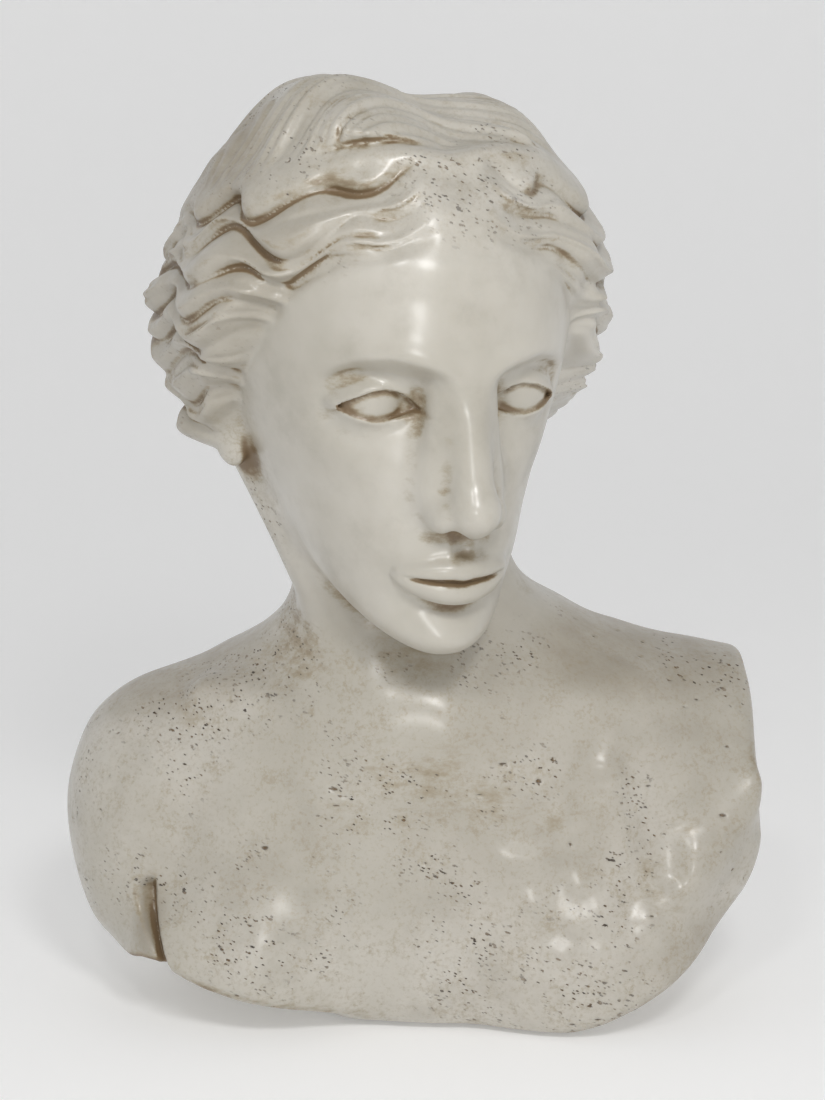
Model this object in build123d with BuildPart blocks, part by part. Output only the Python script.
"""Life-size classical portrait bust: a hollow bonded-marble casting with its neck armature and closed foot.

Frame: origin at the centre of the foot, on the surface that the bust stands on. +Z is up, the chest
faces -Y and the bust's own left shoulder points to +X. All sizes are in millimetres.

The casting is one hollow piece. A steel rod bedded in plaster at both ends stiffens its neck. Wood
blocks bonded inside the foot take the screws of the board that closes it, and felt covers the board.
"""

import os
from math import copysign, cos, pi, radians, sin, tan

from build123d import *

# ---- driving dimensions: the casting --------------------------------------------------------------
WALL = 10.0  # thickness of the chest's and shoulders' walls
LEAN = radians(10.0)  # the chest leans back by this much towards the neck
FULLNESS = 2.5  # superellipse exponent of the torso's upright sections
SECTION_POINTS = 24  # spline points round one upright section

# Upright sections of the torso, from the right arm's stump to the left one:
# x, then top and bottom height, then the front and back of the section at its middle height.
TORSO_SECTIONS = (
    (-156.0, 100.0, 50.0, -16.0, 30.0),
    (-150.0, 116.0, 36.0, -27.0, 41.0),
    (-136.0, 131.0, 24.0, -40.0, 51.0),
    (-112.0, 144.0, 19.0, -52.0, 58.0),
    (-78.0, 160.0, 6.0, -66.0, 63.0),
    (-36.0, 176.0, -12.0, -71.0, 66.0),
    (0.0, 180.0, -18.0, -70.0, 65.0),
    (40.0, 180.0, -16.0, -72.0, 66.0),
    (82.0, 168.0, -2.0, -67.0, 63.0),
    (114.0, 158.0, 16.0, -56.0, 58.0),
    (138.0, 153.0, 38.0, -42.0, 51.0),
    (151.0, 147.0, 62.0, -28.0, 43.0),
)
SHOULDER_REACH = -TORSO_SECTIONS[0][0]

# Level sections of the neck: height, centre x and y, half width, half depth.
NECK_SECTIONS = (
    (118.0, 0.0, 4.0, 62.0, 54.0),
    (146.0, -2.0, 6.0, 54.0, 52.0),
    (172.0, -5.0, 6.0, 49.0, 51.0),
    (208.0, -10.0, 4.0, 49.0, 52.0),
    (250.0, -17.0, 4.0, 50.0, 54.0),
)

HEAD_CENTRE = (-13.5, -20.0, 292.0)  # midway between chin and crown
HEAD_TURN = 22.0  # degrees that the face turns towards +X
HEAD_NOD = 10.0  # degrees that it looks down

# Level sections of the head, in its own frame: height, centre y, half width, half depth.
HEAD_SECTIONS = (
    (-109.0, -72.0, 17.0, 13.0),
    (-102.0, -62.0, 30.0, 30.0),
    (-84.0, -38.0, 42.0, 54.0),
    (-62.0, -18.0, 52.0, 78.0),
    (-38.0, -4.0, 60.0, 90.0),
    (-8.0, 2.0, 67.0, 94.0),
    (28.0, 4.0, 72.0, 96.0),
    (62.0, 4.0, 68.0, 90.0),
    (90.0, 4.0, 52.0, 72.0),
    (108.0, 4.0, 26.0, 40.0),
)
NOSE_SECTIONS = (
    (-40.0, -96.0, 13.0, 20.0),
    (10.0, -84.0, 5.0, 9.0),
)
BUN_SECTIONS = (
    (-38.0, 104.0, 10.0, 9.0),
    (-28.0, 105.0, 24.0, 21.0),
    (-6.0, 106.0, 32.0, 29.0),
    (16.0, 105.0, 24.0, 21.0),
    (26.0, 104.0, 10.0, 9.0),
)
HAIR_CENTRE = (0.0, 10.0, 24.0)  # in the head's frame
HAIR_RADIUS = 92.0
HAIR_LENGTH = 98.0  # half the hair mass, front to back
HAIR_FRONT = 58.0  # how far the hair comes forward of its centre
BORE_RADIUS = 34.0  # hollow of the neck

# Level sections of the hollow in the head, measured as the head's own sections are.
HOLLOW_SECTIONS = (
    (-44.0, 14.0, 40.0, 48.0),
    (-12.0, 10.0, 54.0, 68.0),
    (26.0, 8.0, 60.0, 76.0),
    (62.0, 8.0, 52.0, 66.0),
    (84.0, 8.0, 30.0, 40.0),
)

# ---- driving dimensions: the armature --------------------------------------------------------------
ROD_RADIUS = 6.0
ROD_BOTTOM = Vector(-3.0, 8.0, 92.0)
ROD_TOP = Vector(-21.5, 2.0, 300.0)
CHEST_BEDDING = (98.0, 124.0, 62.0)  # bottom, top and radius
HEAD_BEDDING = (-42.0, -8.0)  # bottom and top in the head's frame

# ---- driving dimensions: the foot ------------------------------------------------------------------
FELT_THICKNESS = 2.0
FELT_MARGIN = 4.0  # the felt covers the board's edge by this much
BOARD_THICKNESS = 9.0
BOARD_TOP = FELT_THICKNESS + BOARD_THICKNESS
BOARD_GAP = 0.4  # between the board's edge and the casting
POCKET_CENTRE = (18.0, -8.0)  # the opening under the foot that the board fills
POCKET_LENGTH = 112.0
POCKET_WIDTH = 64.0
POCKET_CORNER = 28.0
SCREW_PLACES = ((-24.0, -27.0), (-24.0, 11.0), (60.0, -27.0), (60.0, 11.0))
SCREW_RADIUS = 1.75
SCREW_HEAD_RADIUS = 3.6
SCREW_HEAD_HEIGHT = 2.0
SCREW_HEAD_TAPER = 40.0
SCREW_LENGTH = 24.0
SCREW_CLEARANCE = 0.3
BLOCK_OFFSET = 8.0  # the blocks' middles are this much further out than their screws
BLOCK_LENGTH = 36.0
BLOCK_WIDTH = 22.0
BLOCK_HEIGHT = 24.0

REACH = 400.0  # more than the part's own size, for cutting tools
DOWN = (Align.CENTER, Align.CENTER, Align.MAX)


def upright_section(section, inset):
    """One upright torso section's points, moved inwards by inset, as (y, z)."""
    _, top, bottom, front, back = section
    middle_y, middle_z = (front + back) / 2, (top + bottom) / 2
    half_depth, half_height = (back - front) / 2 - inset, (top - bottom) / 2 - inset
    power = 2 / FULLNESS
    points = []
    for i in range(SECTION_POINTS):
        turn = 2 * pi * (i + 0.5) / SECTION_POINTS
        depth = half_depth * abs(cos(turn)) ** power * (1 if cos(turn) > 0 else -1)
        height = half_height * abs(sin(turn)) ** power * (1 if sin(turn) > 0 else -1)
        points.append((middle_y + depth + height * tan(LEAN), middle_z + height))
    return points


def torso_form(inset, floor):
    """The torso's form moved inwards by inset all round, cut off level at height floor."""
    with BuildPart() as form:
        for section in TORSO_SECTIONS:
            x = section[0] * (1 - inset / SHOULDER_REACH)
            with BuildSketch(Plane(origin=(x, 0, 0), x_dir=(0, 1, 0), z_dir=(1, 0, 0))):
                with BuildLine():
                    Spline(*upright_section(section, inset), periodic=True)
                make_face()
        loft()
        with Locations((0, 0, floor)):
            Box(2 * REACH, 2 * REACH, REACH, align=DOWN, mode=Mode.SUBTRACT)
    return form.part


def level_loft(base, sections):
    """A loft through ellipses level with the plane base: height, centre x and y, half width, half depth."""
    with BuildPart() as form:
        for height, x, y, half_width, half_depth in sections:
            with BuildSketch(base.offset(height)):
                with Locations((x, y)):
                    Ellipse(half_width, half_depth)
        loft()
    return form.part


def on_head(sections):
    """Head sections have no centre x, because the head is symmetric in its own frame."""
    return [(height, 0.0, y, half_width, half_depth) for height, y, half_width, half_depth in sections]


def foot_outline(margin):
    """The pocket's rounded outline, grown by margin, in the sketch that is being built."""
    with Locations(POCKET_CENTRE):
        RectangleRounded(POCKET_LENGTH + 2 * margin, POCKET_WIDTH + 2 * margin, POCKET_CORNER + margin)


def hair_form(centre, length, radius, front):
    """A spheroid along the head's front-to-back line, cut off square at front ahead of its centre."""
    plane = Plane(
        origin=head_frame.from_local_coords(centre), x_dir=head_frame.y_dir, z_dir=-head_frame.x_dir
    )
    with BuildPart() as form:
        with BuildSketch(plane):
            Ellipse(length, radius)
            with Locations((-front, 0)):
                Rectangle(REACH, REACH, align=(Align.MAX, Align.CENTER), mode=Mode.SUBTRACT)
            Rectangle(REACH, REACH, align=(Align.CENTER, Align.MAX), mode=Mode.SUBTRACT)
        revolve(axis=Axis(plane.origin, plane.x_dir))
    return form.part


head_frame = Plane(Location(HEAD_CENTRE, (0, 0, HEAD_TURN)) * Location((0, 0, 0), (HEAD_NOD, 0, 0)))
rod_plane = Plane(origin=ROD_BOTTOM, z_dir=ROD_TOP - ROD_BOTTOM)
rod_length = (ROD_TOP - ROD_BOTTOM).length

# ---- hollow of the casting ---------------------------------------------------------------------------
with BuildPart() as hollow:
    add(torso_form(WALL, BOARD_TOP))
    with BuildSketch(Plane.XY.offset(FELT_THICKNESS)):
        foot_outline(0.0)
    extrude(amount=BOARD_THICKNESS)
    with BuildSketch(rod_plane):
        Circle(BORE_RADIUS)
    extrude(amount=rod_length)
    add(level_loft(head_frame, on_head(HOLLOW_SECTIONS)))

# ---- the casting -------------------------------------------------------------------------------------
with BuildPart() as bust_shell:
    add(torso_form(0.0, FELT_THICKNESS))
    add(level_loft(Plane.XY, NECK_SECTIONS))
    add(level_loft(head_frame, on_head(HEAD_SECTIONS)))
    add(hair_form(HAIR_CENTRE, HAIR_LENGTH, HAIR_RADIUS, HAIR_FRONT))
    add(level_loft(head_frame, on_head(NOSE_SECTIONS)))
    add(level_loft(head_frame, on_head(BUN_SECTIONS)))
    add(hollow.part, mode=Mode.SUBTRACT)

# ---- the armature: a rod bedded in plaster above and below the neck ----------------------------------
with BuildPart() as neck_rod:
    with BuildSketch(rod_plane):
        Circle(ROD_RADIUS)
    extrude(amount=rod_length)

chest_bedding_bottom, chest_bedding_top, chest_bedding_radius = CHEST_BEDDING
with BuildPart() as chest_bedding:
    with BuildSketch(Plane.XY.offset(chest_bedding_bottom)):
        with Locations((ROD_BOTTOM.X, ROD_BOTTOM.Y)):
            Circle(chest_bedding_radius)
    extrude(amount=chest_bedding_top - chest_bedding_bottom)
    add(hollow.part, mode=Mode.INTERSECT)
    add(neck_rod.part, mode=Mode.SUBTRACT)

head_bedding_bottom, head_bedding_top = HEAD_BEDDING
with BuildPart() as head_bedding:
    with BuildSketch(head_frame.offset(head_bedding_bottom)):
        Rectangle(REACH, REACH)
    extrude(amount=head_bedding_top - head_bedding_bottom)
    add(hollow.part, mode=Mode.INTERSECT)
    add(neck_rod.part, mode=Mode.SUBTRACT)

# ---- the foot: screws, blocks, board and felt --------------------------------------------------------
with BuildPart() as base_screws:
    with BuildSketch(Plane.XY.offset(FELT_THICKNESS)):
        with Locations(*SCREW_PLACES):
            Circle(SCREW_HEAD_RADIUS)
    extrude(amount=SCREW_HEAD_HEIGHT, taper=SCREW_HEAD_TAPER)
    with BuildSketch(Plane.XY.offset(FELT_THICKNESS)):
        with Locations(*SCREW_PLACES):
            Circle(SCREW_RADIUS)
    extrude(amount=SCREW_LENGTH)

with BuildPart() as fixing_blocks:
    with BuildSketch(Plane.XY.offset(BOARD_TOP)):
        for x, y in SCREW_PLACES:
            with Locations((x + copysign(BLOCK_OFFSET, x), y)):
                Rectangle(BLOCK_LENGTH, BLOCK_WIDTH)
    extrude(amount=BLOCK_HEIGHT)
    add(hollow.part, mode=Mode.INTERSECT)
    add(base_screws.part, mode=Mode.SUBTRACT)

with BuildPart() as base_board:
    with BuildSketch(Plane.XY.offset(FELT_THICKNESS)):
        foot_outline(-BOARD_GAP)
        with Locations(*SCREW_PLACES):
            Circle(SCREW_RADIUS + SCREW_CLEARANCE, mode=Mode.SUBTRACT)
    extrude(amount=BOARD_THICKNESS)
    add(base_screws.part, mode=Mode.SUBTRACT)

with BuildPart() as base_felt:
    with BuildSketch(Plane.XY):
        foot_outline(FELT_MARGIN)
    extrude(amount=FELT_THICKNESS)

# ---- export ------------------------------------------------------------------------------------------
PIECES = {
    "bust_shell": bust_shell,
    "neck_rod": neck_rod,
    "chest_bedding": chest_bedding,
    "head_bedding": head_bedding,
    "fixing_blocks": fixing_blocks,
    "base_screws": base_screws,
    "base_board": base_board,
    "base_felt": base_felt,
}
os.makedirs("parts", exist_ok=True)
for name, piece in PIECES.items():
    piece.part.label = name
    export_step(piece.part, f"parts/{name}.step")
